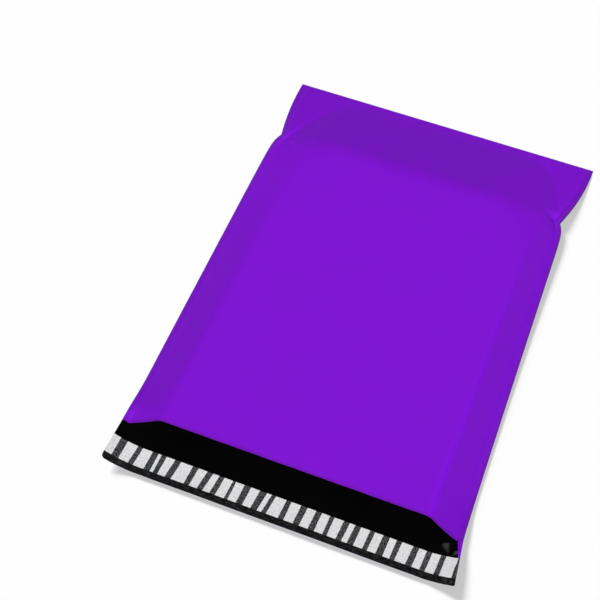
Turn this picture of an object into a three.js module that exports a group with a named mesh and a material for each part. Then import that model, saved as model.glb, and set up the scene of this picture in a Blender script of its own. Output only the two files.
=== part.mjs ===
// Poly mailer: a film pouch that stands open at its mouth, with a flap that carries a band of
// adhesive under a peel-off liner. One sheet of film makes the front, the bottom fold, the back and
// the flap; only the two side edges are welded.
// Millimetres, +Z up. X runs across the mailer and Y from the flap's end to the bottom fold.
// The origin lies under the middle of the whole length, on the surface that the mailer rests on.
import * as THREE from 'three';

const { clamp, lerp, smoothstep } = THREE.MathUtils;

// Sheet: the mailer laid flat
const width = 250;
const depth = 350; // mouth to bottom fold
const flapDepth = 33;
const film = 0.06;
const sideWeld = 5;

// Front panel: a level middle with a slope to each seam and to the bottom fold
const openHeight = 18.8; // clear height under the level middle
const mouthSlopeLeft = 27.5; // seam to crease, at the mouth
const mouthSlopeRight = 25.5;
const bottomSlopeLeft = 28.5; // seam to crease, at the panel's far end
const bottomSlopeRight = 21.5;
const tailSlope = 74; // panel's far end to the bottom fold
const tailFlat = 1.5; // strip beside the fold where front and back lie together
const creaseRound = 2.5; // where the panel turns down
const slopeRound = 5; // where the slopes meet each other
const airGap = 0.4; // between front and back where they lie together
const airRound = 1;

// Side seams in plan: drawn in along the pouch, more on the right where the slope is steeper, with an
// ear of film left at each bottom corner
const mouthPinchLeft = 0.3;
const mouthPinchRight = 3.7;
const notchPinchLeft = 2.9;
const notchPinchRight = 7.2;
const pinchPowerLeft = 3; // of the way from the mouth to the notch
const pinchPowerRight = 0.6;
const notchDip = 4; // extra draw where the ear starts
const notchRound = 6;
const earLength = 67; // along the seam
const earWidth = 40; // along the bottom fold
const earSteepness = 0.3; // slope of the panel where it rises from the ear

// Side seams in height: curled up on the flap and at the mouth, low behind it, up again to the notch
const flapRiseLeft = 9.3;
const flapRiseRight = 8.4;
const hemLift = 2.4; // middle of the flap's end off the surface
const mouthRise = 6;
const waistRiseLeft = 1.6;
const waistRiseRight = 3.2;
const waistRun = 40; // from the mouth
const notchRise = 9;
const notchPower = 2.5; // of the way from the mouth to the notch
const riseRun = 24; // from the seam in to where the back lies on the surface
const weldDroop = 2.6; // left weld: from its inner line down to the edge, in full behind the waist's run
const settleLength = 12; // from the mouth to where the left side curls up to the weld's inner line only

// Closure on the flap
const flapMargin = 5.4; // flap's end to the liner
const linerWidth = 14.9;
const linerThickness = 0.07;
const linerOverhang = 2; // liner past the adhesive on each long side
const adhesiveThickness = 0.05;

const panelEnd = depth - tailSlope;
const earStart = depth - earLength;
const bottomLand = depth - film; // inside of the bottom fold
const halfLength = (depth + flapDepth) / 2;

// Rows run along the mailer, at distances past the mouth; the flap's rows are negative.
function spaced(from, to, shares) {
  return shares.map((share) => lerp(from, to, share));
}

const linerStart = flapMargin - flapDepth;
const linerEnd = linerStart + linerWidth;
const adhesiveRows = [linerStart + linerOverhang, linerEnd - linerOverhang];
const linerRows = [linerStart, ...adhesiveRows, linerEnd];
const flapRows = [-flapDepth, ...linerRows, linerEnd / 2, 0];
const pouchRows = [
  ...spaced(0, panelEnd, [0, 0.02, 0.04, 0.07, 0.11, 0.15, 0.24, 0.38, 0.53, 0.67, 0.78, 0.87, 0.94, 0.98]),
  ...spaced(panelEnd, earStart, [0.2, 0.5, 0.75, 0.9, 1]),
  ...spaced(earStart, depth - tailFlat, [0.06, 0.15, 0.27, 0.4, 0.54, 0.68, 0.82, 0.92, 1]),
  ...spaced(depth - tailFlat, depth, [0.45]),
  bottomLand,
  depth,
].sort((a, b) => a - b);

// Columns run across. Each half has its edge, its weld line, the side slope and the level middle.
const slopeShares = [0.12, 0.28, 0.45, 0.62, 0.78, 0.9, 1, 1.12, 1.3];
const middleShares = [0.66, 0.33];
const halfColumns = [
  { welded: true, place: (edge) => edge },
  { welded: true, place: (edge) => edge - sideWeld },
  ...slopeShares.map((share) => ({
    welded: false,
    place: (edge, crease) => lerp(edge - sideWeld, crease, share),
  })),
  ...middleShares.map((share) => ({
    welded: false,
    place: (edge, crease) => share * lerp(edge - sideWeld, crease, slopeShares.at(-1)),
  })),
];
const columns = [
  ...halfColumns.map((column) => ({ ...column, side: -1 })),
  { welded: false, place: () => 0, side: 1 },
  ...halfColumns.map((column) => ({ ...column, side: 1 })).reverse(),
];
const lastColumn = columns.length - 1;
const weldLines = [1, lastColumn - 1];

// Smooth minimum and maximum: a rounded change from one value to the other.
function softMin(a, b, round) {
  const overlap = Math.max(round - Math.abs(a - b), 0);
  return Math.min(a, b) - (overlap * overlap) / (4 * round);
}

function softMax(a, b, round) {
  return -softMin(-a, -b, round);
}

// Share of the way from the mouth to the notch, and from the notch to the bottom fold
function towardsNotch(t) {
  return clamp(t / earStart, 0, 1);
}

function alongEar(t) {
  return clamp((t - earStart) / earLength, 0, 1);
}

// Plan of one side, -1 for left and 1 for right, as distances from the middle line.
// Seam without its notch
function seamLine(t, side) {
  return side < 0
    ? width / 2 - lerp(mouthPinchLeft, notchPinchLeft, towardsNotch(t) ** pinchPowerLeft)
    : width / 2 - lerp(mouthPinchRight, notchPinchRight, towardsNotch(t) ** pinchPowerRight);
}

// Edge: full width at the flap's end and at the bottom corners
function edgeAt(t, side) {
  if (t < 0) return lerp(seamLine(0, side), width / 2, -t / flapDepth);
  if (t < earStart) return seamLine(t, side) - notchDip * Math.exp((t - earStart) / notchRound);
  const notch = seamLine(earStart, side) - notchDip;
  return lerp(width / 2, notch, ((depth - t) / earLength) ** 2);
}

// Crease between the level middle and the side slope
function creaseAt(t, side) {
  const along = Math.max(t, 0);
  const slope = side < 0
    ? lerp(mouthSlopeLeft, bottomSlopeLeft, along / panelEnd)
    : lerp(mouthSlopeRight, bottomSlopeRight, along / panelEnd);
  return seamLine(along, side) - slope;
}

function columnX(column, t) {
  return column.side * column.place(edgeAt(t, column.side), creaseAt(t, column.side));
}

function sideOf(x) {
  return x < 0 ? -1 : 1;
}

// Height of the seam's edge above the surface.
function seamRise(t, side) {
  if (t < 0) return lerp(mouthRise, side < 0 ? flapRiseLeft : flapRiseRight, -t / flapDepth);
  if (t > earStart) return notchRise * (1 - alongEar(t));
  const waistRise = side < 0 ? waistRiseLeft : waistRiseRight;
  const lowered = lerp(mouthRise, waistRise, smoothstep(t, 0, waistRun));
  return lowered + (notchRise - waistRise) * towardsNotch(t) ** notchPower;
}

// Underside of the back and the flap: flat on the surface, curling up towards the flap's end, the seams
// and the ears.
// Along the pouch, the left side curls up to the weld's inner line and slants down to the edge.
function backHeight(x, t) {
  const inward = edgeAt(t, sideOf(x)) - Math.abs(x);
  const pastEar = Math.max(inward - earWidth * alongEar(t), 0);
  const rise = seamRise(t, sideOf(x));
  const bed = t < 0 ? hemLift * (t / flapDepth) ** 2 : 0;
  const curled = bed + (rise - bed) * Math.max(1 - pastEar / riseRun, 0) ** 2;
  if (x >= 0) return curled;
  const ridge = rise + weldDroop * smoothstep(t, 0, waistRun) * (1 - alongEar(t));
  const pastWeld = Math.max(pastEar - sideWeld, 0);
  const slanted = inward < sideWeld
    ? lerp(rise, ridge, inward / sideWeld)
    : ridge * Math.max(1 - pastWeld / (riseRun - sideWeld), 0) ** 2;
  return lerp(curled, slanted, smoothstep(t, 0, settleLength));
}

// Underside of the front inside the welds: the lowest of the level middle, the side slope, the
// slope down to the fold and the rise out of the ear, and never lower than the back's own film.
function frontHeight(x, t) {
  const edge = edgeAt(t, sideOf(x));
  const weldLine = edge - sideWeld;
  const seam = backHeight(sideOf(x) * weldLine, t) + film;
  const climb = (weldLine - Math.abs(x)) / (weldLine - creaseAt(t, sideOf(x)));
  const side = seam + (openHeight - seam) * climb;
  const tail = (openHeight * (depth - tailFlat - t)) / (tailSlope - tailFlat);
  const earReach = (edge - Math.abs(x)) / earWidth + (depth - t) / earLength - 1;
  const earSlope = (earSteepness * earReach) / Math.hypot(1 / earWidth, 1 / earLength);
  const ear = seamRise(t, sideOf(x)) + earSlope;
  const slopes = softMin(softMin(side, tail, slopeRound), ear, slopeRound);
  const panel = softMin(openHeight, slopes, creaseRound);
  return softMax(panel, backHeight(x, t) + film + airGap, airRound);
}

// The front has the back's length, so its lip is drawn back where the pouch stands open.
function setBack(column, t) {
  const x = columnX(column, 0);
  const rise = frontHeight(x, 0) - backHeight(x, 0);
  const drawn = (rise * rise) / (2 * (tailSlope - tailFlat));
  return drawn * Math.min((depth - t) / tailSlope, 1);
}

// Points of the layers
function backPoint(t, column, above) {
  const x = columnX(column, t);
  return new THREE.Vector3(x, t + flapDepth - halfLength, backHeight(x, t) + above);
}

function frontPoint(t, column, above) {
  const point = backPoint(t, column, film + above);
  if (column.welded || t >= bottomLand) return point;
  point.y += setBack(column, t);
  point.z = frontHeight(point.x, t) + above;
  return point;
}

const backBottom = (t, column) => backPoint(t, column, 0);
const backTop = (t, column) => backPoint(t, column, film);
const frontBottom = (t, column) => frontPoint(t, column, 0);
const frontTop = (t, column) => frontPoint(t, column, film);

// Triangles are gathered as corner points, each face wound to point outwards.
class Skin {
  constructor() {
    this.corners = [];
  }

  triangle(a, b, c, outward) {
    this.corners.push(...(outward ? [a, b, c] : [a, c, b]));
  }

  quad(a, b, c, d, outward) {
    this.triangle(a, b, c, outward);
    this.triangle(a, c, d, outward);
  }

  // One layer over rows and a run of columns, facing up or down. The diagonals mirror about the middle.
  layer(rows, first, last, point, up) {
    for (let i = 0; i + 1 < rows.length; i += 1) {
      for (let j = first; j < last; j += 1) {
        const a = point(rows[i], columns[j]);
        const b = point(rows[i], columns[j + 1]);
        const c = point(rows[i + 1], columns[j + 1]);
        const d = point(rows[i + 1], columns[j]);
        if (columns[j].side < 0) this.quad(b, c, d, a, up);
        else this.quad(a, b, c, d, up);
      }
    }
  }

  // Wall across the mailer at one row, facing the flap's end or the fold.
  crossWall(t, first, last, lower, upper, facesFlap) {
    for (let j = first; j < last; j += 1) {
      const [near, far] = [columns[j], columns[j + 1]];
      this.quad(lower(t, near), lower(t, far), upper(t, far), upper(t, near), facesFlap);
    }
  }

  // Walls along both side edges.
  sideWalls(rows, lower, upper) {
    for (const column of [columns[0], columns[lastColumn]]) {
      for (let i = 0; i + 1 < rows.length; i += 1) {
        const [near, far] = [rows[i], rows[i + 1]];
        this.quad(lower(near, column), lower(far, column), upper(far, column), upper(near, column),
          column.side > 0);
      }
    }
  }

  geometry() {
    return new THREE.BufferGeometry().setFromPoints(this.corners);
  }
}

// The film: back and flap below, front above, welded at the sides and folded at the bottom
function filmPouch() {
  const skin = new Skin();
  const [leftWeld, rightWeld] = weldLines;
  const insideRows = pouchRows.slice(0, -1);

  skin.layer([...flapRows, ...pouchRows.slice(1)], 0, lastColumn, backBottom, false);
  skin.layer(flapRows, 0, lastColumn, backTop, true);
  skin.layer(pouchRows, 0, lastColumn, frontTop, true);
  skin.layer(insideRows, leftWeld, rightWeld, backTop, true);
  skin.layer(insideRows, leftWeld, rightWeld, frontBottom, false);

  // Cut edges: the flap's end, the lip of the front, and the welded ends beside the lip
  skin.crossWall(-flapDepth, 0, lastColumn, backBottom, backTop, true);
  skin.crossWall(0, leftWeld, rightWeld, frontBottom, frontTop, true);
  skin.crossWall(0, 0, leftWeld, backTop, frontTop, true);
  skin.crossWall(0, rightWeld, lastColumn, backTop, frontTop, true);
  skin.crossWall(depth, 0, lastColumn, backBottom, frontTop, false);
  skin.sideWalls(flapRows, backBottom, backTop);
  skin.sideWalls(pouchRows.slice(1), backBottom, frontTop);

  // First stretch of each side edge past the mouth, where one film becomes two
  const [mouth, next] = pouchRows;
  for (const column of [columns[0], columns[lastColumn]]) {
    const outward = column.side > 0;
    const step = backTop(mouth, column);
    skin.triangle(backBottom(mouth, column), backBottom(next, column), step, outward);
    skin.triangle(step, backBottom(next, column), frontTop(next, column), outward);
    skin.triangle(step, frontTop(next, column), frontTop(mouth, column), outward);
  }
  return skin.geometry();
}

// A strip that lies along the flap, from one height above the film's underside to another
function flapStrip(rows, bottom, top) {
  const skin = new Skin();
  const lower = (t, column) => backPoint(t, column, bottom);
  const upper = (t, column) => backPoint(t, column, top);
  skin.layer(rows, 0, lastColumn, lower, false);
  skin.layer(rows, 0, lastColumn, upper, true);
  skin.crossWall(rows[0], 0, lastColumn, lower, upper, true);
  skin.crossWall(rows.at(-1), 0, lastColumn, lower, upper, false);
  skin.sideWalls(rows, lower, upper);
  return skin.geometry();
}

function piece(name, geometry, color, roughness) {
  geometry.computeVertexNormals();
  const mesh = new THREE.Mesh(geometry, new THREE.MeshStandardMaterial({ color, roughness, metalness: 0 }));
  mesh.name = name;
  return mesh;
}

const adhesiveTop = film + adhesiveThickness;
const mailer = new THREE.Group();
mailer.add(piece('film_pouch', filmPouch(), 0x7d1acf, 0.42));
mailer.add(piece('adhesive_strip', flapStrip(adhesiveRows, film, adhesiveTop), 0xd9d3bf, 0.3));
mailer.add(piece('release_liner', flapStrip(linerRows, adhesiveTop, adhesiveTop + linerThickness), 0xe6e6e6, 0.5));

export default mailer;
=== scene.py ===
import math

import bpy
import numpy as np
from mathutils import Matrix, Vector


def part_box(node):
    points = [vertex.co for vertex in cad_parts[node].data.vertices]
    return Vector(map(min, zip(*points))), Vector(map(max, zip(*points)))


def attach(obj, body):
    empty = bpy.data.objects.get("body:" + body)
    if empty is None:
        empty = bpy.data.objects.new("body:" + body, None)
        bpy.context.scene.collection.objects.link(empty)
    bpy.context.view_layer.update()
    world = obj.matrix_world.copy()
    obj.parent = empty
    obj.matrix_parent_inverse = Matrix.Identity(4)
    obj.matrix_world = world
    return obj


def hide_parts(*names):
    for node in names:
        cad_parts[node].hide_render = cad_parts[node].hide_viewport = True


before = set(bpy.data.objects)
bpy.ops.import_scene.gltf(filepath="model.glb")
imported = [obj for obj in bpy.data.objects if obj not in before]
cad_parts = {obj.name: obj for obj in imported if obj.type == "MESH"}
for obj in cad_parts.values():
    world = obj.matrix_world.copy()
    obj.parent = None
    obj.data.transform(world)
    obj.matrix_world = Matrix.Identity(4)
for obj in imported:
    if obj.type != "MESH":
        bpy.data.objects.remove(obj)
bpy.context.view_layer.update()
mm = 0.001  # shapes are worked out in millimetres and written in metres
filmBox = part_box("film_pouch")
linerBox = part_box("release_liner")
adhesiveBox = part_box("adhesive_strip")
print("frame loaded:", ", ".join(sorted(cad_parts)))

# the mailer's sheet and how it lies open, millimetres; a pair is for the left side and the right side
sheet = {
    "width": (filmBox[1].x - filmBox[0].x) / mm,
    "length": (filmBox[1].y - filmBox[0].y) / mm,
    "openHeight": (filmBox[1].z - filmBox[0].z) / mm,
    "flapDepth": 33.0,
    "film": 0.06,
    "weld": 5.0,
    "mouthSlope": (27.5, 25.5),   # seam to crease at the mouth
    "bottomSlope": (28.5, 21.5),  # seam to crease at the panel's far end
    "tailSlope": 74.0,            # panel's far end to the bottom fold
    "tailFlat": 1.5,
    "creaseRound": 2.5,           # where the panel turns down
    "slopeRound": 5.0,            # where the slopes meet each other
    "airGap": 0.4,                # between front and back where they lie together
    "leastGap": 0.2,              # what wrinkles leave of it
    "airRound": 1.0,
    "mouthPinch": (0.3, 3.7),     # seam drawn in at the mouth and at the notch, by a power between them
    "notchPinch": (2.9, 7.2),
    "pinchCurve": (3.0, 0.6),
    "notchDip": 4.0,
    "notchRound": 6.0,
    "earLength": 67.0,
    "earWidth": 40.0,
    "earSteepness": 0.3,
    "hemLift": 2.4,               # middle of the flap's end off the surface
    "flapRise": (9.3, 8.4),       # height of the seam at the flap's corners, mouth, waist and notch
    "mouthRise": 6.0,
    "waistRise": (1.6, 3.2),
    "notchRise": 9.0,
    "waistRun": 40.0,
    "notchCurve": 2.5,
    "riseRun": 24.0,
    "weldDroop": 2.6,             # the left weld falls outwards by this, in full behind the waist's run
    "settle": 12.0,               # from the mouth to where the left side curls up to the weld's inner line
    "cornerRound": (2.8, 0.8),    # flap corners
}
depth = sheet["length"] - sheet["flapDepth"]
panelEnd = depth - sheet["tailSlope"]
earStart = depth - sheet["earLength"]
mouthY = sheet["flapDepth"] - sheet["length"] / 2  # y of the mouth line

# small life in the film, millimetres
wrinkle = {
    "puckerHeight": 0.25,      # along the seams
    "puckerReach": 13.0,
    "puckerPitch": (17.0, 9.7, 26.0),
    "sidePhase": (2.4, 1.1),   # left and right
    "panelHeight": 0.14,       # two sets of slow waves over the panel, each slanted and shifted
    "panelPitch": (118.0, 74.0, 97.0),
    "panelSlant": (0.4, -0.3),
    "panelPhase": (0.5, 2.0),
    "lipHeight": 0.16,
    "lipReach": 14.0,
    "lipPitch": (41.0, 23.0),
    "lipPhase": 0.9,
    "earRidge": 0.05,          # crease where the panel rises from the ear
    "earRidgeWidth": 2.6,
    "fanHeight": 0.09,         # folds that run out from the notches
    "fanReach": 17.0,
    "fanLobes": 13.0,
    "tailHeight": 0.4,         # shallow folds down the tail
    "tailPitch": (63.0, 37.0, 24.0),
    "tailPhase": 1.7,
    "holdWeld": 4.0,           # nothing moves at the weld or the fold
    "holdFold": 12.0,
    "kinkReach": 9.0,          # kinks along the flap's end: place across and height
    "hemKinks": ((-118.0, 0.0), (-109.5, 0.5), (-104.0, 0.1), (-92.0, 0.3), (-87.0, 0.0), (-58.0, 0.25),
                 (-20.0, 0.05), (28.0, 0.3), (74.0, 0.0), (98.0, 0.35), (106.0, 0.0), (112.0, 0.3),
                 (114.5, 0.0), (116.5, 0.45), (118.5, 0.0), (120.5, 0.5), (122.5, 0.05), (124.5, 0.3)),
    # crumples: peak's place across and along, half width, length before and behind, height, degrees turned
    "crumples": ((110.8, -4.0, 3.6, 10.5, 1.5, 1.9, 30.0), (119.2, -8.6, 2.4, 5.0, 2.4, 1.6, -26.0),
                 (-112.8, -30.3, 3.8, 2.6, 2.6, 0.4, 0.0), (-91.6, -30.3, 1.2, 2.4, 2.6, 0.4, 0.0),
                 (118.4, -30.3, 1.6, 2.4, 2.4, 0.4, 0.0), (122.0, -30.1, 1.4, 2.4, 2.4, 0.4, 0.0)),
    "rimDrop": (0.25, 0.45),   # right rim turned down: shares of its rise, at the mouth and behind it
    "rimWidth": 3.0,
    "rimRun": 25.0,
    "highlightWidth": 2.2,          # painted highlight along the right crease
    "highlightLength": 300.0,
    "sealShadeRun": 0.25,           # share of the weld's width over which its painted shade comes in
    "cutRun": (0.75, 0.95),    # shares between which the painted shade turns darkest, at the cut edge
    "sealShadeBySide": (0.4, 1.0),    # how much of both painted shades shows on the left and on the right
    "lipShadeRun": 3.0,             # painted shade along the lip's cut edge, and how much of it shows
    "lipShade": 0.8,
    "rollWidth": 3.4,          # flap's right edge rolled over beside the mouth
    "rollLength": 13.5,
    "rollHeight": 0.4,
}


# smooth minimum: the lower of two heights, with the change rounded over a reach
def softMin(a, b, reach):
    return np.minimum(a, b) - np.maximum(reach - np.abs(a - b), 0) ** 2 / (4 * reach)


# smooth maximum: the smooth minimum turned upside down
def softMax(a, b, reach):
    return -softMin(-a, -b, reach)


# straight mix of two values
def mix(a, b, share):
    return a + (b - a) * share


# a few sines of unlike pitch added up, between about -1 and 1
def ripple(along, pitches, phase=0.0):
    waves = [np.sin(2 * np.pi * along / pitch + phase * (k + 1)) for k, pitch in enumerate(pitches)]
    return sum(waves) / len(pitches)


# a measure that differs by side: the first of its pair left of the middle, the second right of it
def bySide(name, x):
    return np.where(np.asarray(x) < 0, *sheet[name])


# seam in plan without its notch: from the mouth's pinch to the notch's, by a power of the way along
def seamLine(t, x):
    along = np.clip(t / earStart, 0, 1) ** bySide("pinchCurve", x)
    return sheet["width"] / 2 - mix(bySide("mouthPinch", x), bySide("notchPinch", x), along)


# edge in plan: straight flare on the flap, seam with an exponential notch, then the ear's parabola
def edgeAt(t, x):
    flap = mix(seamLine(0.0, x), sheet["width"] / 2, -t / sheet["flapDepth"])
    dip = sheet["notchDip"] * np.exp(np.minimum(t - earStart, 0) / sheet["notchRound"])
    waist = seamLine(earStart, x) - sheet["notchDip"]
    ear = mix(sheet["width"] / 2, waist, ((depth - t) / sheet["earLength"]) ** 2)
    return np.where(t < 0, flap, np.where(t < earStart, seamLine(t, x) - dip, ear))


# what a quarter circle takes off the flap's corner
def cornerCut(t, x):
    bend = bySide("cornerRound", x)
    into = np.clip(1 - (t + sheet["flapDepth"]) / bend, 0, 1)
    return bend * (1 - np.sqrt(1 - into ** 2))


# crease beside the panel: the seam line moved in by a slope width that grows evenly along the pouch
def creaseAt(t, x):
    along = np.maximum(t, 0)
    return seamLine(along, x) - mix(bySide("mouthSlope", x), bySide("bottomSlope", x), along / panelEnd)


# cubic step from 0 to 1 over a run
def step(along, run):
    share = np.clip(along / run, 0, 1)
    return share ** 2 * (3 - 2 * share)


# 0 at the notch to 1 at the bottom fold
def earShare(t):
    return np.clip((t - earStart) / sheet["earLength"], 0, 1)


# height of the seam's edge: up at the flap, low at the waist, up to the notch, straight down the ear
def seamRise(t, x):
    flap = mix(sheet["mouthRise"], bySide("flapRise", x), -t / sheet["flapDepth"])
    low = bySide("waistRise", x)
    waist = mix(sheet["mouthRise"], low, step(t, sheet["waistRun"]))
    pouch = waist + (sheet["notchRise"] - low) * np.clip(t / earStart, 0, 1) ** sheet["notchCurve"]
    return np.where(t < 0, flap, np.where(t < earStart, pouch, sheet["notchRise"] * (1 - earShare(t))))


# underside of the back and flap: flat, with parabolas up to the flap's end and up to the seam or ear;
# the left weld falls outwards again
def backHeight(x, t):
    inward = edgeAt(t, x) - np.abs(x)
    reach = np.maximum(inward - sheet["earWidth"] * earShare(t), 0)
    rise = seamRise(t, x)
    bed = np.where(t < 0, sheet["hemLift"] * (t / sheet["flapDepth"]) ** 2, 0)
    curled = bed + (rise - bed) * np.maximum(1 - reach / sheet["riseRun"], 0) ** 2
    ridge = rise + sheet["weldDroop"] * step(t, sheet["waistRun"]) * (1 - earShare(t))
    band = mix(rise, ridge, inward / sheet["weld"])
    climb = 1 - np.maximum(reach - sheet["weld"], 0) / (sheet["riseRun"] - sheet["weld"])
    slanted = np.where(inward < sheet["weld"], band, ridge * np.maximum(climb, 0) ** 2)
    return np.where(x < 0, mix(curled, slanted, step(t, sheet["settle"])), curled)


# how far along the flap's rolled edge: 1 from the mouth back, falling to 0 in front of it
def rollShare(t):
    return np.clip(1 + t / wrinkle["rollLength"], 0, 1)


# width of the outside that shows where the flap's right edge rolls over, less the distance from the edge
def rolledOver(x, t):
    shown = wrinkle["rollWidth"] * np.sqrt(rollShare(t)) - edgeAt(t, x) + np.abs(x)
    return np.where((x > 0) & (t <= 0), shown, -wrinkle["rollWidth"])


# crumples as low pyramids on kites: all added up, and the highest as a share of its own height, which masks
# a painted glint
def crumpled(x, t):
    total, share = np.zeros_like(x), np.zeros_like(x)
    for atX, atT, wide, front, behind, height, turn in wrinkle["crumples"]:
        cos, sin = math.cos(math.radians(turn)), math.sin(math.radians(turn))
        across = np.abs((x - atX) * cos + (t - atT) * sin) / wide
        along = (t - atT) * cos - (x - atX) * sin
        along = np.where(along < 0, -along / front, along / behind)
        pyramid = np.maximum(1 - across - along, 0)
        total += height * pyramid
        share = np.maximum(share, pyramid)
    return total, share


# mask of a painted highlight along the right crease: a thin bell that fades away from the mouth
def creaseHighlightLine(x, t):
    near = np.exp(-((np.abs(x) - creaseAt(t, x)) / wrinkle["highlightWidth"]) ** 2)
    return near * np.clip(1 - t / wrinkle["highlightLength"], 0, 1) * (x > 0) * (t >= 0)


# kinked hem as a zigzag, crumples, a rolled edge as a half ellipse, less the turned-down rim
def backLife(x, t):
    kinkX, kinkZ = np.array(wrinkle["hemKinks"]).T
    kinked = np.interp(x, kinkX, kinkZ) * np.exp(-(t + sheet["flapDepth"]) / wrinkle["kinkReach"])
    rolled = np.clip(rolledOver(x, t) / wrinkle["rollWidth"], 0, 1)
    roll = wrinkle["rollHeight"] * np.sqrt(rolled * (1 - rolled))
    rim = np.clip(1 - (edgeAt(t, x) - np.abs(x)) / wrinkle["rimWidth"], 0, 1) ** 2 * (x > 0)
    drop = mix(*wrinkle["rimDrop"], step(t, wrinkle["rimRun"])) * rollShare(t)
    return kinked + crumpled(x, t)[0] + roll - drop * seamRise(t, x) * rim


# reach of a point into the panel from the ear's line, in millimetres
def earReach(x, t):
    share = (edgeAt(t, x) - np.abs(x)) / sheet["earWidth"] + (depth - t) / sheet["earLength"] - 1
    return share / math.hypot(1 / sheet["earWidth"], 1 / sheet["earLength"])


# underside of the front: the lowest of level middle, side slope, tail slope and rise from the ear
def frontHeight(x, t):
    level = sheet["openHeight"] - sheet["film"]
    weldLine = edgeAt(t, x) - sheet["weld"]
    seam = backHeight(np.where(x < 0, -weldLine, weldLine), t) + sheet["film"]
    climb = (weldLine - np.abs(x)) / (weldLine - creaseAt(t, x))
    side = seam + (level - seam) * climb
    tail = level * (depth - sheet["tailFlat"] - t) / (sheet["tailSlope"] - sheet["tailFlat"])
    ear = seamRise(t, x) + sheet["earSteepness"] * earReach(x, t)
    slopes = softMin(softMin(side, tail, sheet["slopeRound"]), ear, sheet["slopeRound"])
    panel = softMin(np.full_like(slopes, level), slopes, sheet["creaseRound"])
    return softMax(panel, backHeight(x, t) + sheet["film"] + sheet["airGap"], sheet["airRound"])


# wrinkles of the front as ripples that fade out: puckers by the seams, slow waves on the panel, a wavy lip,
# ear creases, fans at the notches and folds down the tail
def frontLife(x, t):
    inward = np.maximum(edgeAt(t, x) - sheet["weld"] - np.abs(x), 0)
    heldByWeld = np.clip(inward / wrinkle["holdWeld"], 0, 1)
    heldByFold = np.clip((depth - t) / wrinkle["holdFold"], 0, 1)
    phase = np.where(x < 0, *wrinkle["sidePhase"])
    pucker = np.exp(-inward / wrinkle["puckerReach"]) * ripple(t, wrinkle["puckerPitch"], phase)
    slantX, slantT = wrinkle["panelSlant"]
    phaseX, phaseT = wrinkle["panelPhase"]
    slow = ripple(x + slantX * t, wrinkle["panelPitch"], phaseX)
    slow = slow * ripple(t + slantT * x, wrinkle["panelPitch"], phaseT)
    lip = np.exp(-t / wrinkle["lipReach"]) * ripple(x, wrinkle["lipPitch"], wrinkle["lipPhase"])
    ridge = np.exp(-(earReach(x, t) / wrinkle["earRidgeWidth"]) ** 2)
    away = np.hypot(inward, t - earStart) / wrinkle["fanReach"]
    bearing = np.arctan2(t - earStart, inward)
    fan = away * np.exp(1 - away) * np.sin(wrinkle["fanLobes"] * bearing + phase)
    down = np.clip((t - panelEnd) / (sheet["tailSlope"] - sheet["tailFlat"]), 0, 1)
    tail = np.sin(np.pi * down) * ripple(x, wrinkle["tailPitch"], wrinkle["tailPhase"])
    life = wrinkle["puckerHeight"] * pucker + wrinkle["panelHeight"] * slow
    life = life + wrinkle["lipHeight"] * lip + wrinkle["earRidge"] * ridge
    life = life + wrinkle["fanHeight"] * fan + wrinkle["tailHeight"] * tail
    return heldByWeld * heldByFold * life


# the front has the back's length, so the lip is drawn back by rise squared over twice the tail's run
def setBack(xAtMouth, t):
    mouth = np.zeros_like(xAtMouth)
    rise = frontHeight(xAtMouth, mouth) - backHeight(xAtMouth, mouth)
    drawn = rise ** 2 / (2 * (sheet["tailSlope"] - sheet["tailFlat"]))
    return drawn * np.minimum((depth - t) / sheet["tailSlope"], 1)


# grid stations: rows along the mailer, and columns as weld share, slope share and middle share
grid = {
    "flapRows": 35,
    "cornerRows": 7,
    "mouthRows": 17,
    "panelRows": 96,
    "tailRows": 80,
    "mouthEnd": 24.0,
    "tailStart": 236.0,
    "weldColumns": 7,
    "weldCrowd": 1.4,  # weld columns crowd towards the edge by this power
    "slopeColumns": 28,
    "middleColumns": 15,
    "slopeEnd": 1.4,   # slope columns run on past the crease, to this share of the slope
    "rowDigits": 3,    # rows that agree to these decimals are one
    "rowSlack": 0.01,  # and a strip takes the rows within its edges and this much
    "sharpAngle": 50,  # degrees: edges that turn more are drawn sharp
}
linerRows = np.array([linerBox[0].y, linerBox[1].y]) / mm - mouthY
adhesiveRows = np.array([adhesiveBox[0].y, adhesiveBox[1].y]) / mm - mouthY


# even rows, with more of them round the corner's quarter circle and one at each edge of the strips
def flapStations():
    even = np.linspace(-sheet["flapDepth"], 0, grid["flapRows"])
    turn = np.linspace(0, np.pi / 2, grid["cornerRows"])
    corner = sheet["cornerRound"][0] * (1 - np.cos(turn)) - sheet["flapDepth"]
    rows = np.concatenate([even, corner, linerRows, adhesiveRows])
    return np.unique(np.round(rows, grid["rowDigits"]))


# close rows at the mouth and the tail, wider ones between
def pouchStations():
    mouth = np.linspace(0, grid["mouthEnd"], grid["mouthRows"])
    panel = np.linspace(grid["mouthEnd"], grid["tailStart"], grid["panelRows"])[1:]
    tail = np.linspace(grid["tailStart"], depth - sheet["film"], grid["tailRows"])[1:]
    return np.concatenate([mouth, panel, tail, [depth]])


# columns of one half, from its edge to the middle
def halfColumns():
    weld = np.linspace(0, 1, grid["weldColumns"]) ** grid["weldCrowd"]
    slope = np.linspace(0, grid["slopeEnd"], grid["slopeColumns"])[1:]
    middle = np.linspace(1, 0, grid["middleColumns"])[1:]
    weldShare = np.concatenate([weld, np.ones(len(slope) + len(middle))])
    slopeShare = np.concatenate([np.zeros(len(weld)), slope, np.full(len(middle), grid["slopeEnd"])])
    middleShare = np.concatenate([np.ones(len(weld) + len(slope)), middle])
    return weldShare, slopeShare, middleShare


# x along one half: from the cut edge to the weld line, down the slope and over the middle
def halfGrid(t, side):
    weldShare, slopeShare, middleShare = halfColumns()
    weldLine = edgeAt(t, side) - sheet["weld"]
    outer = edgeAt(t, side) - cornerCut(t, side)
    band = mix(outer[:, None], weldLine[:, None], weldShare)
    return side * middleShare * mix(band, creaseAt(t, side)[:, None], slopeShare)


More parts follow.
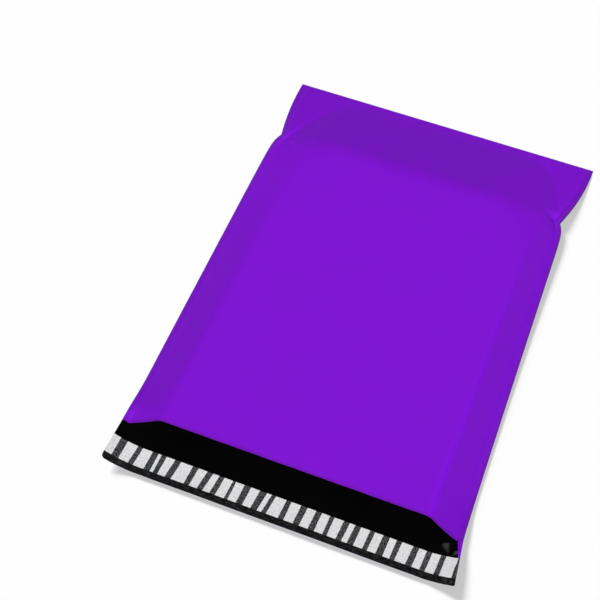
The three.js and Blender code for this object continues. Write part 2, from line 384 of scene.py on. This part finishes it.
# x of every grid point: the left half, then the right half turned round
def acrossGrid(t):
    return np.concatenate([halfGrid(t, -1), halfGrid(t, 1)[:, -2::-1]], axis=1)


# four-sided faces between neighbours on a grid of point numbers
def quadsOf(index):
    corners = [index[:-1, :-1], index[:-1, 1:], index[1:, 1:], index[1:, :-1]]
    return np.stack(corners, -1).reshape(-1, 4)


# four-sided faces between two rows of point numbers
def wallOf(lower, upper):
    return np.stack([lower[:-1], lower[1:], upper[1:], upper[:-1]], -1)


# the same faces turned the other way, with the same diagonal
def flipped(faces):
    return faces[:, [0, 3, 2, 1]]


# mesh object from points in millimetres, faces, each face's material and each point's place laid flat
def makePiece(name, points, faces, materials, faceMaterial, flat):
    mesh = bpy.data.meshes.new(name)
    mesh.from_pydata((np.asarray(points) * mm).tolist(), [], faces)
    mesh.polygons.foreach_set("material_index", np.asarray(faceMaterial, np.int32))
    mesh.polygons.foreach_set("use_smooth", np.ones(len(faces), bool))
    uvLayer = mesh.uv_layers.new(name="flat")
    corner = np.empty(len(mesh.loops), np.int32)
    mesh.loops.foreach_get("vertex_index", corner)
    uvLayer.data.foreach_set("uv", (np.asarray(flat)[corner] * mm).astype(np.float32).ravel())
    mesh.set_sharp_from_angle(angle=math.radians(grid["sharpAngle"]))
    for material in materials:
        mesh.materials.append(material)
    mesh.validate()
    piece = bpy.data.objects.new(name, mesh)
    bpy.context.collection.objects.link(piece)
    return piece


# one number at each point, for the materials to read
def setPointValue(piece, name, values):
    layer = piece.data.attributes.new(name, "FLOAT", "POINT")
    layer.data.foreach_set("value", np.asarray(values, np.float32))


# points of the back at a height above the film's underside, over rows t
def backPoints(t, above):
    x = acrossGrid(t)
    rows = np.broadcast_to(t[:, None], x.shape)
    z = backHeight(x, rows) + backLife(x, rows) + above
    return np.stack([x, rows + mouthY, z], -1)


# points of the front over rows t: on the back at the welds and the fold, and clear of it between them
def frontPoints(t, above):
    x = acrossGrid(t)
    rows = np.broadcast_to(t[:, None], x.shape)
    weldShare = halfColumns()[0]
    inside = np.concatenate([weldShare, weldShare[-2::-1]]) >= 1
    inside[[grid["weldColumns"] - 1, -grid["weldColumns"]]] = False  # the weld lines themselves
    free = inside[None, :] & (rows < depth - sheet["film"])
    xAtMouth = np.broadcast_to(acrossGrid(np.zeros(1)), x.shape)
    welded = backHeight(x, rows) + backLife(x, rows) + sheet["film"]
    opened = np.maximum(frontHeight(x, rows) + frontLife(x, rows), welded + sheet["leastGap"])
    z = np.where(free, opened, welded) + above
    y = rows + mouthY + np.where(free, setBack(xAtMouth, rows), 0)
    return np.stack([x, y, z], -1)


# the pouch: four layers of points, sharing those on the welds and at the bottom fold
def makeFilmPouch(outside, inside):
    flapT, pouchT = flapStations(), pouchStations()
    backT = np.concatenate([flapT, pouchT[1:]])
    mouth = len(flapT) - 1
    weldAt = grid["weldColumns"] - 1
    backBottom = backPoints(backT, 0.0)
    backTop = backPoints(backT, sheet["film"])
    frontBottom = frontPoints(pouchT, 0.0)
    frontTop = frontPoints(pouchT, sheet["film"])

    layers = [backBottom, backTop, frontBottom, frontTop]
    sizes = [layer.shape[0] * layer.shape[1] for layer in layers]
    numbers = np.split(np.arange(sum(sizes)), np.cumsum(sizes)[:-1])
    numbers = [part.reshape(layer.shape[:2]) for part, layer in zip(numbers, layers)]
    lowSkin, lowLining, topLining, topSkin = numbers
    # the upper lining takes the lower one's points on the weld lines and along the inner fold
    topLining = topLining.copy()
    topLining[:, [weldAt, -weldAt - 1]] = lowLining[mouth:][:, [weldAt, -weldAt - 1]]
    topLining[-2] = lowLining[-2]

    hollow = slice(weldAt, lowSkin.shape[1] - weldAt)
    ends = [0, -1]
    skins = [
        flipped(quadsOf(lowSkin)),
        quadsOf(topSkin),
        wallOf(lowSkin[0], lowLining[0]),
        wallOf(topLining[0, hollow], topSkin[0, hollow]),
        wallOf(lowLining[mouth, :weldAt + 1], topSkin[0, :weldAt + 1]),
        wallOf(lowLining[mouth, -weldAt - 1:], topSkin[0, -weldAt - 1:]),
        flipped(wallOf(lowSkin[-1], topSkin[-1])),
    ]
    for end, turn in zip(ends, (flipped, lambda faces: faces)):
        skins.append(turn(wallOf(lowSkin[:mouth + 1, end], lowLining[:mouth + 1, end])))
        skins.append(turn(wallOf(lowSkin[mouth + 1:, end], topSkin[1:, end])))
    linings = [
        quadsOf(lowLining[:mouth + 1]),
        quadsOf(lowLining[mouth:-1, hollow]),
        flipped(quadsOf(topLining[:-1, hollow])),
    ]
    faces = np.concatenate(skins + linings).tolist()
    faceMaterial = [0] * sum(map(len, skins)) + [1] * sum(map(len, linings))
    # where one film becomes two, the side edge has a corner more
    for end, way in zip(ends, (-1, 1)):
        rim = [*lowSkin[mouth:mouth + 2, end], topSkin[1, end], topSkin[0, end], lowLining[mouth, end]]
        faces.append([int(number) for number in rim[::way]])
        faceMaterial.append(0)

    points = np.concatenate([layer.reshape(-1, 3) for layer in layers])
    used = np.zeros(len(points), bool)
    used[np.concatenate([np.asarray(face) for face in faces])] = True
    newNumber = np.cumsum(used) - 1
    faces = [newNumber[face].tolist() for face in faces]
    piece = makePiece("mailer_film", points[used], faces, [outside, inside], faceMaterial, points[used, :2])

    weldShare = halfColumns()[0]
    band = 1 - np.concatenate([weldShare, weldShare[-2::-1]])
    band = np.concatenate([np.tile(band, layer.shape[0]) for layer in layers])
    x, t = points[:, 0], points[:, 1] - mouthY
    # painted shade along the weld band, deepest at its cut edge and stronger on the right, and painted shade
    # along the lip
    tint = np.where(x < 0, *wrinkle["sealShadeBySide"])
    cutFrom, cutTo = wrinkle["cutRun"]
    cut = tint * np.clip((band - cutFrom) / (cutTo - cutFrom), 0, 1)
    lip = wrinkle["lipShade"] * np.clip(1 - pouchT / wrinkle["lipShadeRun"], 0, 1)
    lip = np.repeat(lip, frontTop.shape[1])
    lip = np.concatenate([np.zeros(sizes[0] + sizes[1]), lip, lip])  # on the front's two layers only
    marks = {
        "weldBand": band,
        "sealShade": tint * np.clip(band / wrinkle["sealShadeRun"], 0, 1),
        "cut": np.maximum(cut, lip),
        "rolledOver": rolledOver(x, t),
        "hemReach": linerRows[0] - t,
        # mask of a painted glint on the crumples
        "crumpleGlint": crumpled(x, t)[1],
        # mask of the painted highlight along the right crease
        "creaseHighlight": creaseHighlightLine(x, t),
    }
    for name, values in marks.items():
        setPointValue(piece, name, values[used])
    return piece


# a strip on the flap between two heights above the film's underside
def makeFlapStrip(name, rows, bottom, top, material):
    t = flapStations()
    t = t[(t >= rows[0] - grid["rowSlack"]) & (t <= rows[1] + grid["rowSlack"])]
    lower, upper = backPoints(t, bottom), backPoints(t, top)
    count = lower.shape[0] * lower.shape[1]
    low = np.arange(count).reshape(lower.shape[:2])
    high = low + count
    faces = np.concatenate([
        flipped(quadsOf(low)),
        quadsOf(high),
        wallOf(low[0], high[0]),
        flipped(wallOf(low[-1], high[-1])),
        flipped(wallOf(low[:, 0], high[:, 0])),
        wallOf(low[:, -1], high[:, -1]),
    ]).tolist()
    points = np.concatenate([lower.reshape(-1, 3), upper.reshape(-1, 3)])
    flat = points[:, :2] - [-sheet["width"] / 2, rows[0] + mouthY]
    return makePiece(name, points, faces, [material], [0] * len(faces), flat)


# a new material with its nodes and its Principled shader
def startMaterial(name):
    material = bpy.data.materials.new(name)
    material.use_nodes = True
    return material, material.node_tree, material.node_tree.nodes["Principled BSDF"]


# a node whose inputs are fed by sockets or set to plain values
def addNode(tree, kind, feeds=None, **settings):
    node = tree.nodes.new(kind)
    for key, value in settings.items():
        setattr(node, key, value)
    for key, feed in (feeds or {}).items():
        if isinstance(feed, bpy.types.NodeSocket):
            tree.links.new(feed, node.inputs[key])
        else:
            node.inputs[key].default_value = feed
    return node


# result of one sum on sockets or plain values
def calc(tree, operation, *feeds):
    return addNode(tree, "ShaderNodeMath", dict(enumerate(feeds)), operation=operation).outputs["Value"]


# value that was set at each point of the mesh
def pointValue(tree, name):
    return addNode(tree, "ShaderNodeAttribute", attribute_name=name).outputs["Fac"]


# cloudy value between 0 and 1
def noiseOf(tree, feeds, dimensions="3D"):
    return addNode(tree, "ShaderNodeTexNoise", feeds, noise_dimensions=dimensions).outputs["Fac"]


# straight rescaling of a value from one range to another, held at the ends
def ranged(tree, value, fromRange, toRange=(0, 1)):
    feeds = {"Value": value, "From Min": fromRange[0], "From Max": fromRange[1],
             "To Min": toRange[0], "To Max": toRange[1]}
    return addNode(tree, "ShaderNodeMapRange", feeds).outputs["Result"]


# straight mix of two colours, each a socket or a plain colour
def tinted(tree, share, first, second):
    feeds = {"Factor": share, "A": first, "B": second}
    feeds = {key: (*feed, 1) if isinstance(feed, tuple) else feed for key, feed in feeds.items()}
    return addNode(tree, "ShaderNodeMix", feeds, data_type="RGBA").outputs["Result"]


# normal of a surface raised by a height
def bumped(tree, height, strength, distance):
    feeds = {"Height": height, "Strength": strength, "Distance": distance}
    return addNode(tree, "ShaderNodeBump", feeds).outputs["Normal"]


# what both faces of the film share: noise scales per metre
grainLook = {
    "dieLines": (6, 700, 6),  # long across the sheet, fine along it
    "lineDetail": 2.0,
    "peel": 420.0,
    "peelDetail": 3.0,
    "peelRoughness": 0.6,
    "mottle": 22.0,
    "mottleDetail": 3.0,
}


# film grain: die lines across the sheet, fine orange peel and slow mottle, as noises of unlike scale
def makeFilmGrain(look):
    group = bpy.data.node_groups.new("film grain", "ShaderNodeTree")
    sockets = (("Vector", "INPUT", "NodeSocketVector"), ("Line Height", "INPUT", "NodeSocketFloat"),
               ("Peel Height", "INPUT", "NodeSocketFloat"), ("Height", "OUTPUT", "NodeSocketFloat"),
               ("Mottle", "OUTPUT", "NodeSocketFloat"))
    for name, way, kind in sockets:
        group.interface.new_socket(name, in_out=way, socket_type=kind)
    start = group.nodes.new("NodeGroupInput").outputs
    end = group.nodes.new("NodeGroupOutput")
    place = start["Vector"]
    stretched = addNode(group, "ShaderNodeMapping", {"Vector": place, "Scale": look["dieLines"]})
    linePlace = stretched.outputs["Vector"]
    lines = noiseOf(group, {"Vector": linePlace, "Scale": 1.0, "Detail": look["lineDetail"]})
    peel = noiseOf(group, {"Vector": place, "Scale": look["peel"], "Detail": look["peelDetail"],
                           "Roughness": look["peelRoughness"]})
    mottle = noiseOf(group, {"Vector": place, "Scale": look["mottle"], "Detail": look["mottleDetail"]})
    lineHeight = calc(group, "MULTIPLY", lines, start["Line Height"])
    height = calc(group, "MULTIPLY_ADD", peel, start["Peel Height"], lineHeight)
    group.links.new(height, end.inputs["Height"])
    group.links.new(mottle, end.inputs["Mottle"])
    return group


# outer face of the film
purpleLook = {
    "deep": (0.208, 0.0060, 0.640),
    "light": (0.222, 0.0070, 0.680),
    "sealShade": (0.180, 0.0085, 0.515),  # painted shade on the weld
    "cut": (0.140, 0.0085, 0.380),     # deeper painted shade at its cut edge and along the lip
    "creaseHighlight": (0.226, 0.0062, 0.770),  # painted highlight along the crease
    "roughness": (0.48, 0.56),
    "specular": 0.13,
    "lineHeight": 0.05,
    "peelHeight": 0.12,
    "ribScale": 210.0,                 # ribs pressed into the weld
    "ribHeight": 0.1,
    "ribRun": 0.25,                    # share of the weld's width over which they come in
    "bump": 0.25,
}
# inner face of the film
blackLook = {
    "deep": (0.0003, 0.0003, 0.0003),
    "light": (0.0007, 0.0007, 0.0007),
    "hem": (0.0040, 0.0039, 0.0042),   # painted sheen on the band below the liner
    "hemSheenPatch": (0.0370, 0.0360, 0.0380),
    "sheenEdge": 0.6,                   # how soft the band's edges are, millimetres
    "sheenPatchScale": (260.0, 900.0, 1.0),
    "sheenPatchDetail": 3.0,
    "sheenPatchRange": (0.45, 0.70),
    "rollEdge": 0.15,                  # how soft the edge of the rolled film is, millimetres
    "crumpleGlint": (0.046, 0.044, 0.043),  # painted glint where the film is crumpled
    "glintRange": (0.08, 0.8),        # shares of a crumple's height between which the painted glint comes in
    "roughness": (0.36, 0.46),
    "specular": 0.12,
    "lineHeight": 0.06,
    "peelHeight": 0.16,
    "ribScale": 210.0,
    "ribHeight": 0.05,
    "ribRun": 0.25,
    "bump": 0.3,
}


# one face of the co-extruded film: the outer has painted shade at the weld, its cut edge and the lip and a
# painted highlight along its crease, and the inner has a painted sheen on its hem, painted glints on its
# crumples, and the outer colours where its edge is rolled
def makeFilmMaterial(name, look, grain, outer=None):
    material, tree, shader = startMaterial(name)
    place = tree.nodes.new("ShaderNodeTexCoord").outputs["Object"]
    texture = addNode(tree, "ShaderNodeGroup", node_tree=grain)
    tree.links.new(place, texture.inputs["Vector"])
    texture.inputs["Line Height"].default_value = look["lineHeight"]
    texture.inputs["Peel Height"].default_value = look["peelHeight"]
    mottle = texture.outputs["Mottle"]
    colour = tinted(tree, mottle, look["deep"], look["light"])
    if outer is None:
        # painted highlight along the crease, and painted shade on the weld, its cut edge and the lip
        for tint in ("creaseHighlight", "sealShade", "cut"):
            colour = tinted(tree, pointValue(tree, tint), colour, look[tint])
    else:
        # painted sheen on the band below the liner, lighter in patches
        sheenPatchPlace = addNode(tree, "ShaderNodeMapping", {"Vector": place, "Scale": look["sheenPatchScale"]})
        sheenPatchFeeds = {"Vector": sheenPatchPlace.outputs["Vector"], "Scale": 1.0, "Detail": look["sheenPatchDetail"]}
        sheenPatchShare = ranged(tree, noiseOf(tree, sheenPatchFeeds), look["sheenPatchRange"])
        hemSheen = tinted(tree, sheenPatchShare, look["hem"], look["hemSheenPatch"])
        hem = pointValue(tree, "hemReach")
        fromEnd = calc(tree, "SUBTRACT", sheet["flapDepth"] + linerRows[0], hem)
        hemSheenShare = ranged(tree, calc(tree, "MINIMUM", hem, fromEnd), (0, look["sheenEdge"]))
        colour = tinted(tree, hemSheenShare, colour, hemSheen)
        # painted glint on the crumples
        crumpleGlint = ranged(tree, pointValue(tree, "crumpleGlint"), look["glintRange"])
        colour = tinted(tree, crumpleGlint, colour, look["crumpleGlint"])
        rolled = ranged(tree, pointValue(tree, "rolledOver"), (-look["rollEdge"], look["rollEdge"]))
        colour = tinted(tree, rolled, colour, tinted(tree, mottle, outer["deep"], outer["light"]))
    ribs = addNode(tree, "ShaderNodeTexWave", {"Vector": place, "Scale": look["ribScale"]},
                   wave_type="BANDS", bands_direction="Y").outputs["Fac"]
    rib = calc(tree, "MULTIPLY", ribs, ranged(tree, pointValue(tree, "weldBand"), (0, look["ribRun"])))
    height = calc(tree, "MULTIPLY_ADD", rib, look["ribHeight"], texture.outputs["Height"])
    tree.links.new(colour, shader.inputs["Base Color"])
    tree.links.new(ranged(tree, mottle, (0, 1), look["roughness"]), shader.inputs["Roughness"])
    tree.links.new(bumped(tree, height, look["bump"], mm), shader.inputs["Normal"])
    shader.inputs["Specular IOR Level"].default_value = look["specular"]
    return material


# printed release liner: scales per metre
linerLook = {
    "white": (0.87, 0.87, 0.88),
    "greyWhite": (0.60, 0.60, 0.61),
    "ink": (0.008, 0.008, 0.009),
    "fadedInk": (0.130, 0.130, 0.136),
    "barsPerMetre": 100.0,
    "barHalfWidth": 0.205,    # of a bar's pitch
    "barUneven": (0.6, 1.35),
    "unevenScale": 140.0,
    "unevenRange": (0.3, 0.7),
    "barRandomness": 0.7,
    "lean": (-0.12, 0.0),     # across for each step up the strip
    "leanScale": 48.0,
    "leanRange": (0.25, 0.75),
    "ragged": 0.06,
    "raggedScale": 330.0,
    "raggedDetail": 2.0,
    "edge": 0.014,
    "streaks": (9.0, 700.0),
    "streakDetail": 3.0,
    "streakRange": (0.40, 0.66),
    "mottle": 700.0,
    "mottleDetail": 4.0,
    "mottleRoughness": 0.65,
    "mottleRange": (0.25, 0.6),
    "roughness": (0.42, 0.55),
    "specular": 0.25,
    "bump": 0.12,
    "bumpDepth": 0.0004,
}


# release liner: white film with plain leaning bars of uneven width, by a one-way Voronoi on its flat map
def makeLinerMaterial(look):
    material, tree, shader = startMaterial("liner film")
    flat = addNode(tree, "ShaderNodeUVMap", uv_map="flat").outputs["UV"]
    split = addNode(tree, "ShaderNodeSeparateXYZ", {"Vector": flat}).outputs
    along, up = split["X"], split["Y"]
    sway = noiseOf(tree, {"W": along, "Scale": look["leanScale"], "Detail": 0.0}, "1D")
    lean = ranged(tree, sway, look["leanRange"], look["lean"])
    leaning = calc(tree, "MULTIPLY_ADD", up, lean, along)
    rough = noiseOf(tree, {"Vector": flat, "Scale": look["raggedScale"], "Detail": look["raggedDetail"]})
    ragged = calc(tree, "MULTIPLY", rough, look["ragged"])
    place = calc(tree, "MULTIPLY_ADD", leaning, look["barsPerMetre"], ragged)
    barFeeds = {"W": place, "Scale": 1.0, "Randomness": look["barRandomness"]}
    bars = addNode(tree, "ShaderNodeTexVoronoi", barFeeds, voronoi_dimensions="1D",
                   feature="DISTANCE_TO_EDGE").outputs["Distance"]
    uneven = noiseOf(tree, {"W": leaning, "Scale": look["unevenScale"], "Detail": 0.0}, "1D")
    halfWidths = [look["barHalfWidth"] * share for share in look["barUneven"]]
    beyond = calc(tree, "SUBTRACT", bars, ranged(tree, uneven, look["unevenRange"], halfWidths))
    bare = ranged(tree, beyond, (-look["edge"], look["edge"]))
    brushPlace = addNode(tree, "ShaderNodeCombineXYZ", {
        "X": calc(tree, "MULTIPLY", place, look["streaks"][0]),
        "Y": calc(tree, "MULTIPLY", up, look["streaks"][1]),
    }).outputs["Vector"]
    brush = noiseOf(tree, {"Vector": brushPlace, "Scale": 1.0, "Detail": look["streakDetail"]})
    ink = tinted(tree, ranged(tree, brush, look["streakRange"]), look["ink"], look["fadedInk"])
    cloud = noiseOf(tree, {"Vector": flat, "Scale": look["mottle"], "Detail": look["mottleDetail"],
                           "Roughness": look["mottleRoughness"]})
    paper = tinted(tree, ranged(tree, cloud, look["mottleRange"]), look["greyWhite"], look["white"])
    tree.links.new(tinted(tree, bare, ink, paper), shader.inputs["Base Color"])
    tree.links.new(ranged(tree, cloud, (0, 1), look["roughness"]), shader.inputs["Roughness"])
    tree.links.new(bumped(tree, cloud, look["bump"], look["bumpDepth"]), shader.inputs["Normal"])
    shader.inputs["Specular IOR Level"].default_value = look["specular"]
    return material


# adhesive under the liner
adhesiveLook = {
    "clear": (0.62, 0.57, 0.43),
    "cloudy": (0.74, 0.70, 0.58),
    "roughness": (0.16, 0.34),
    "lumps": 260.0,  # per metre
    "lumpDetail": 3.0,
    "bump": 0.3,
    "bumpDepth": 0.0004,
}


# hot-melt adhesive: cream, tacky and a little lumpy, all from one noise
def makeAdhesiveMaterial(look):
    material, tree, shader = startMaterial("hot melt")
    place = tree.nodes.new("ShaderNodeTexCoord").outputs["Object"]
    lumps = noiseOf(tree, {"Vector": place, "Scale": look["lumps"], "Detail": look["lumpDetail"]})
    tree.links.new(tinted(tree, lumps, look["clear"], look["cloudy"]), shader.inputs["Base Color"])
    tree.links.new(ranged(tree, lumps, (0, 1), look["roughness"]), shader.inputs["Roughness"])
    tree.links.new(bumped(tree, lumps, look["bump"], look["bumpDepth"]), shader.inputs["Normal"])
    return material


# camera, lamps, sky and floor
studio = {
    "cameraPlace": (127.7, -540.7, 798.7),   # millimetres
    "cameraTurn": (34.732, -1.704, 20.965),  # degrees
    "lens": 78.594,
    "sensor": 36.0,
    "clipStart": 0.01,
    "keyFrom": (0.12, -0.90, 1.0),
    "keyStrength": 3.85,
    "keyAngle": 30,
    "floorFrom": (-1.15, 0.75, 1.0),         # soft shadow to the right and the front
    "floorStrength": 4.8,
    "floorAngle": 20,
    "white": (1, 1, 1, 1),
    "skyStrength": 0.08,
    "horizonStrength": 1.0,                  # a white band round the horizon
    "horizonBand": (0.05, 0.16),             # heights between which the band fades into the sky
    "floorColour": (0.48, 0.48, 0.48),
    "floorBounce": (0.15, 0.15, 0.15),       # what the floor throws back on the mailer
    "floorWhite": 0.52,                      # what the floor shows besides its light and shadow
    "floorRoughness": 0.9,
    "floorSpecular": 0.0,
    "floorHalf": 30.0,
    "floorDrop": 0.00005,
}


# a sun that shines from a direction, turned by its angle from the zenith and round it
def addSun(name, source, strength, angle):
    lamp = bpy.data.lights.new(name, "SUN")
    lamp.energy = strength
    lamp.angle = math.radians(angle)
    sun = bpy.data.objects.new(name, lamp)
    aim = np.array(source) / np.linalg.norm(source)
    sun.rotation_euler = (math.acos(aim[2]), 0, math.atan2(aim[0], -aim[1]))
    bpy.context.collection.objects.link(sun)
    return sun


# a lamp that lights only the given objects, though all of them shade each other
def lightOnly(lamp, name, lit):
    receivers = bpy.data.collections.new(name)
    for thing in lit:
        receivers.objects.link(thing)
    lamp.light_linking.receiver_collection = receivers


# sky: white to the camera, a plain strength for lighting, and white at the horizon where it is mirrored
def makeSky():
    world = bpy.data.worlds.new("studio")
    world.use_nodes = True
    tree = world.node_tree
    direction = tree.nodes.new("ShaderNodeTexCoord").outputs["Generated"]
    height = addNode(tree, "ShaderNodeSeparateXYZ", {"Vector": direction}).outputs["Z"]
    fade = (studio["horizonStrength"], studio["skyStrength"])
    mirrored = ranged(tree, height, studio["horizonBand"], fade)
    rays = tree.nodes.new("ShaderNodeLightPath").outputs
    lit = ranged(tree, rays["Is Diffuse Ray"], (0, 1), (1, studio["skyStrength"]))
    strength = calc(tree, "MAXIMUM", calc(tree, "MINIMUM", mirrored, lit), rays["Is Camera Ray"])
    background = tree.nodes["Background"]
    background.inputs["Color"].default_value = studio["white"]
    tree.links.new(strength, background.inputs["Strength"])
    return world


# floor: part plain white for what sees it directly or mirrored, part lit, so that it keeps the shadow
def makeFloor():
    half, drop = studio["floorHalf"], studio["floorDrop"]
    corners = [(-half, -half, -drop), (half, -half, -drop), (half, half, -drop), (-half, half, -drop)]
    mesh = bpy.data.meshes.new("floor")
    mesh.from_pydata(corners, [], [(0, 1, 2, 3)])
    material, tree, shader = startMaterial("floor")
    rays = tree.nodes.new("ShaderNodeLightPath").outputs
    seen = calc(tree, "MAXIMUM", rays["Is Camera Ray"], rays["Is Glossy Ray"])
    seen = calc(tree, "MAXIMUM", seen, rays["Is Transmission Ray"])
    glow = calc(tree, "MULTIPLY", seen, studio["floorWhite"])
    tree.links.new(glow, shader.inputs["Emission Strength"])
    shader.inputs["Emission Color"].default_value = studio["white"]
    bounced = tinted(tree, rays["Is Diffuse Ray"], studio["floorColour"], studio["floorBounce"])
    tree.links.new(bounced, shader.inputs["Base Color"])
    shader.inputs["Roughness"].default_value = studio["floorRoughness"]
    shader.inputs["Specular IOR Level"].default_value = studio["floorSpecular"]
    mesh.materials.append(material)
    floor = bpy.data.objects.new("floor", mesh)
    bpy.context.collection.objects.link(floor)
    return floor


# camera at the photo's viewing angle, a key sun, a sun for the floor, the sky and the floor
def makeStudio():
    scene = bpy.context.scene
    scene.view_settings.view_transform = "Standard"
    lens = bpy.data.cameras.new("camera")
    lens.lens = studio["lens"]
    lens.sensor_width = studio["sensor"]
    lens.clip_start = studio["clipStart"]
    camera = bpy.data.objects.new("camera", lens)
    camera.location = [v * mm for v in studio["cameraPlace"]]
    camera.rotation_euler = [math.radians(v) for v in studio["cameraTurn"]]
    bpy.context.collection.objects.link(camera)
    scene.camera = camera
    keySun = addSun("key", studio["keyFrom"], studio["keyStrength"], studio["keyAngle"])
    floorSun = addSun("floor sun", studio["floorFrom"], studio["floorStrength"], studio["floorAngle"])
    scene.world = makeSky()
    floor = makeFloor()
    print("studio ready")
    return keySun, floorSun, floor


keySun, floorSun, floor = makeStudio()
grain = makeFilmGrain(grainLook)
purpleFilm = makeFilmMaterial("purple film", purpleLook, grain)
blackFilm = makeFilmMaterial("black film", blackLook, grain, outer=purpleLook)

filmPiece = makeFilmPouch(purpleFilm, blackFilm)
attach(filmPiece, "root")
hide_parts("film_pouch")
print("film pouch:", len(filmPiece.data.polygons), "faces")

# strips on the flap, millimetres
closure = {"adhesiveThickness": 0.05, "linerThickness": 0.07}
adhesiveTop = sheet["film"] + closure["adhesiveThickness"]
linerTop = adhesiveTop + closure["linerThickness"]
adhesivePiece = makeFlapStrip("hot_melt_band", adhesiveRows, sheet["film"], adhesiveTop,
                              makeAdhesiveMaterial(adhesiveLook))
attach(adhesivePiece, "root")
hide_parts("adhesive_strip")

linerPiece = makeFlapStrip("peel_liner", linerRows, adhesiveTop, linerTop, makeLinerMaterial(linerLook))
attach(linerPiece, "root")
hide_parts("release_liner")
print("closure strips:", len(adhesivePiece.data.polygons) + len(linerPiece.data.polygons), "faces")

lightOnly(keySun, "mailer light", [filmPiece, adhesivePiece, linerPiece])
lightOnly(floorSun, "floor light", [floor])
